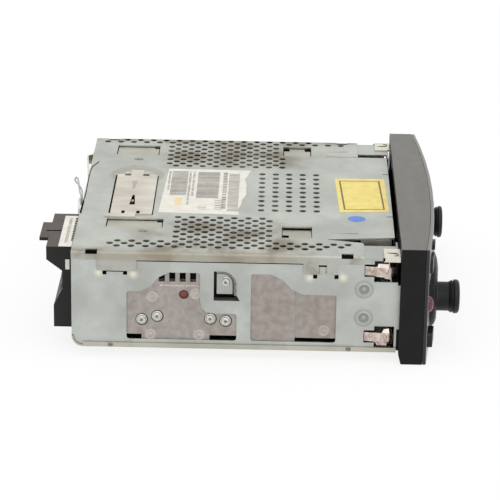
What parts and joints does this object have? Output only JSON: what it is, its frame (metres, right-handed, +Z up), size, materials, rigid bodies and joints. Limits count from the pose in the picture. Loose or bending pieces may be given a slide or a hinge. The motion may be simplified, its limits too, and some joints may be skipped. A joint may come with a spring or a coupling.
{
  "type": "car radio",
  "caption": "Single-slot dashboard radio with a curved black front, knobs, a disc slot, a perforated steel case and a rear connector block.",
  "frame": {"origin": "middle of the underside of the box round the whole radio, level with the front's lower edge", "axes": "+X is the user's right when facing the front, the front faces -Y, +Z is up"},
  "size_m": [0.1824, 0.2094, 0.0603],
  "materials": {
    "galvanised_steel": "galvanised sheet, satin",
    "inner_steel": "plain sheet, satin",
    "bright_steel": "bright plated sheet",
    "cast_alloy": "die-cast, as cast",
    "bronze": "phosphor bronze spring strip",
    "screw_zinc": "zinc plated",
    "black_plastic": "fine grained",
    "knob_plastic": "smooth",
    "button_plastic": "fine grained",
    "smoked_lens": "smoked clear plastic",
    "red_lens": "clear red plastic",
    "display_glass": "liquid crystal display",
    "board_green": "solder resist",
    "connector_black": "moulded",
    "fuse_blue": "clear blue plastic",
    "rubber_black": "moulded rubber",
    "white_plastic": "moulded",
    "wire_grey": "thin coated wire"
  },
  "bodies": {
    "radio": {"amplifier_chip": "connector_black", "antenna_socket": "bright_steel", "bottom_cover": "galvanised_steel", "capacitor": "knob_plastic", "chassis_frame": "galvanised_steel", "corner_clip_left": "bright_steel", "corner_clip_right": "bright_steel", "deck_base": "inner_steel", "deck_lid": "inner_steel", "deck_screw_left": "screw_zinc", "deck_screw_right": "screw_zinc", "display_lens": "smoked_lens", "display_module": "display_glass", "fascia_frame": "black_plastic", "front_panel": "black_plastic", "fuse": "fuse_blue", "fuse_holder": "connector_black", "guide_rod_front": "bright_steel", "guide_rod_rear": "bright_steel", "heat_sink": "cast_alloy", "main_board": "board_green", "rear_header": "connector_black", "rear_strap": "bright_steel", "sink_screw_1": "screw_zinc", "sink_screw_2": "screw_zinc", "sink_screw_3": "screw_zinc", "sink_screw_4": "screw_zinc", "spindle_motor": "inner_steel", "spring_plate": "bright_steel", "status_lens": "red_lens", "switch_board": "board_green", "top_cover": "galvanised_steel", "tuner_module": "bright_steel", "tuning_encoder": "inner_steel", "volume_encoder": "inner_steel", "wire_tie": "wire_grey"},
    "volume_knob": {"volume_knob": "knob_plastic", "volume_shaft": "bright_steel"},
    "tuning_knob": {"tuning_knob": "knob_plastic", "tuning_shaft": "bright_steel"},
    "lower_button_left": {"lower_button_left": "button_plastic"},
    "lower_button_right": {"lower_button_right": "button_plastic"},
    "preset_button_1": {"preset_button_1": "button_plastic"},
    "preset_button_2": {"preset_button_2": "button_plastic"},
    "preset_button_3": {"preset_button_3": "button_plastic"},
    "preset_button_4": {"preset_button_4": "button_plastic"},
    "preset_button_5": {"preset_button_5": "button_plastic"},
    "preset_button_6": {"preset_button_6": "button_plastic"},
    "top_button_left": {"top_button_left": "button_plastic"},
    "top_button_right": {"top_button_right": "button_plastic"},
    "upper_button_left": {"upper_button_left": "button_plastic"},
    "upper_button_right": {"upper_button_right": "button_plastic"},
    "latch_left_lower": {"latch_left_lower": "bronze"},
    "latch_left_upper": {"latch_left_upper": "bronze"},
    "latch_right_lower": {"latch_right_lower": "bronze"},
    "latch_right_upper": {"latch_right_upper": "bronze"},
    "feed_roller": {"feed_roller": "rubber_black"},
    "turntable": {"turntable": "black_plastic"},
    "disc_clamp": {"disc_clamp": "white_plastic"},
    "pickup_sled": {"pickup_sled": "black_plastic"}
  },
  "joints": [
    {"name": "volume_turn", "type": "hinge", "parent": "radio", "child": "volume_knob", "pos_m": [-0.055, -0.09757, 0.0224], "axis": [0, 1, 0], "continuous": true},
    {"name": "tuning_turn", "type": "hinge", "parent": "radio", "child": "tuning_knob", "pos_m": [0.055, -0.09757, 0.0224], "axis": [0, 1, 0], "continuous": true},
    {"name": "lower_button_left_press", "type": "slide", "parent": "radio", "child": "lower_button_left", "axis": [0, 1, 0], "range_m": [0, 0.0008], "stiffness_N_per_m": 500, "springref_m": -0.001},
    {"name": "lower_button_right_press", "type": "slide", "parent": "radio", "child": "lower_button_right", "axis": [0, 1, 0], "range_m": [0, 0.0008], "stiffness_N_per_m": 500, "springref_m": -0.001},
    {"name": "preset_button_1_press", "type": "slide", "parent": "radio", "child": "preset_button_1", "axis": [0, 1, 0], "range_m": [0, 0.0008], "stiffness_N_per_m": 500, "springref_m": -0.001},
    {"name": "preset_button_2_press", "type": "slide", "parent": "radio", "child": "preset_button_2", "axis": [0, 1, 0], "range_m": [0, 0.0008], "stiffness_N_per_m": 500, "springref_m": -0.001},
    {"name": "preset_button_3_press", "type": "slide", "parent": "radio", "child": "preset_button_3", "axis": [0, 1, 0], "range_m": [0, 0.0008], "stiffness_N_per_m": 500, "springref_m": -0.001},
    {"name": "preset_button_4_press", "type": "slide", "parent": "radio", "child": "preset_button_4", "axis": [0, 1, 0], "range_m": [0, 0.0008], "stiffness_N_per_m": 500, "springref_m": -0.001},
    {"name": "preset_button_5_press", "type": "slide", "parent": "radio", "child": "preset_button_5", "axis": [0, 1, 0], "range_m": [0, 0.0008], "stiffness_N_per_m": 500, "springref_m": -0.001},
    {"name": "preset_button_6_press", "type": "slide", "parent": "radio", "child": "preset_button_6", "axis": [0, 1, 0], "range_m": [0, 0.0008], "stiffness_N_per_m": 500, "springref_m": -0.001},
    {"name": "top_button_left_press", "type": "slide", "parent": "radio", "child": "top_button_left", "axis": [0, 1, 0], "range_m": [0, 0.0008], "stiffness_N_per_m": 500, "springref_m": -0.001},
    {"name": "top_button_right_press", "type": "slide", "parent": "radio", "child": "top_button_right", "axis": [0, 1, 0], "range_m": [0, 0.0008], "stiffness_N_per_m": 500, "springref_m": -0.001},
    {"name": "upper_button_left_press", "type": "slide", "parent": "radio", "child": "upper_button_left", "axis": [0, 1, 0], "range_m": [0, 0.0008], "stiffness_N_per_m": 500, "springref_m": -0.001},
    {"name": "upper_button_right_press", "type": "slide", "parent": "radio", "child": "upper_button_right", "axis": [0, 1, 0], "range_m": [0, 0.0008], "stiffness_N_per_m": 500, "springref_m": -0.001},
    {"name": "latch_left_upper_flex", "type": "hinge", "parent": "radio", "child": "latch_left_upper", "pos_m": [-0.0878, -0.05607, 0.0479], "axis": [0, 0, 1], "range_deg": [0, 6], "stiffness_Nm_per_rad": 0.4, "springref_deg": -1.72},
    {"name": "latch_left_lower_flex", "type": "hinge", "parent": "radio", "child": "latch_left_lower", "pos_m": [-0.0878, -0.05655, 0.0133], "axis": [0, 0, 1], "range_deg": [0, 6], "stiffness_Nm_per_rad": 0.4, "springref_deg": -1.72},
    {"name": "latch_right_upper_flex", "type": "hinge", "parent": "radio", "child": "latch_right_upper", "pos_m": [0.0878, -0.05607, 0.0479], "axis": [0, 0, -1], "range_deg": [0, 6], "stiffness_Nm_per_rad": 0.4, "springref_deg": -1.72},
    {"name": "latch_right_lower_flex", "type": "hinge", "parent": "radio", "child": "latch_right_lower", "pos_m": [0.0878, -0.05655, 0.0133], "axis": [0, 0, -1], "range_deg": [0, 6], "stiffness_Nm_per_rad": 0.4, "springref_deg": -1.72},
    {"name": "feed_roller_turn", "type": "hinge", "parent": "radio", "child": "feed_roller", "pos_m": [0, -0.05657, 0.045], "axis": [1, 0, 0], "continuous": true},
    {"name": "turntable_turn", "type": "hinge", "parent": "radio", "child": "turntable", "pos_m": [0, 0.00343, 0.0474], "axis": [0, 0, 1], "continuous": true},
    {"name": "disc_clamp_turn", "type": "hinge", "parent": "radio", "child": "disc_clamp", "pos_m": [0, 0.00343, 0.0524], "axis": [0, 0, 1], "continuous": true},
    {"name": "pickup_sled_travel", "type": "slide", "parent": "radio", "child": "pickup_sled", "axis": [1, 0, 0], "range_m": [0, 0.034]}
  ]
}
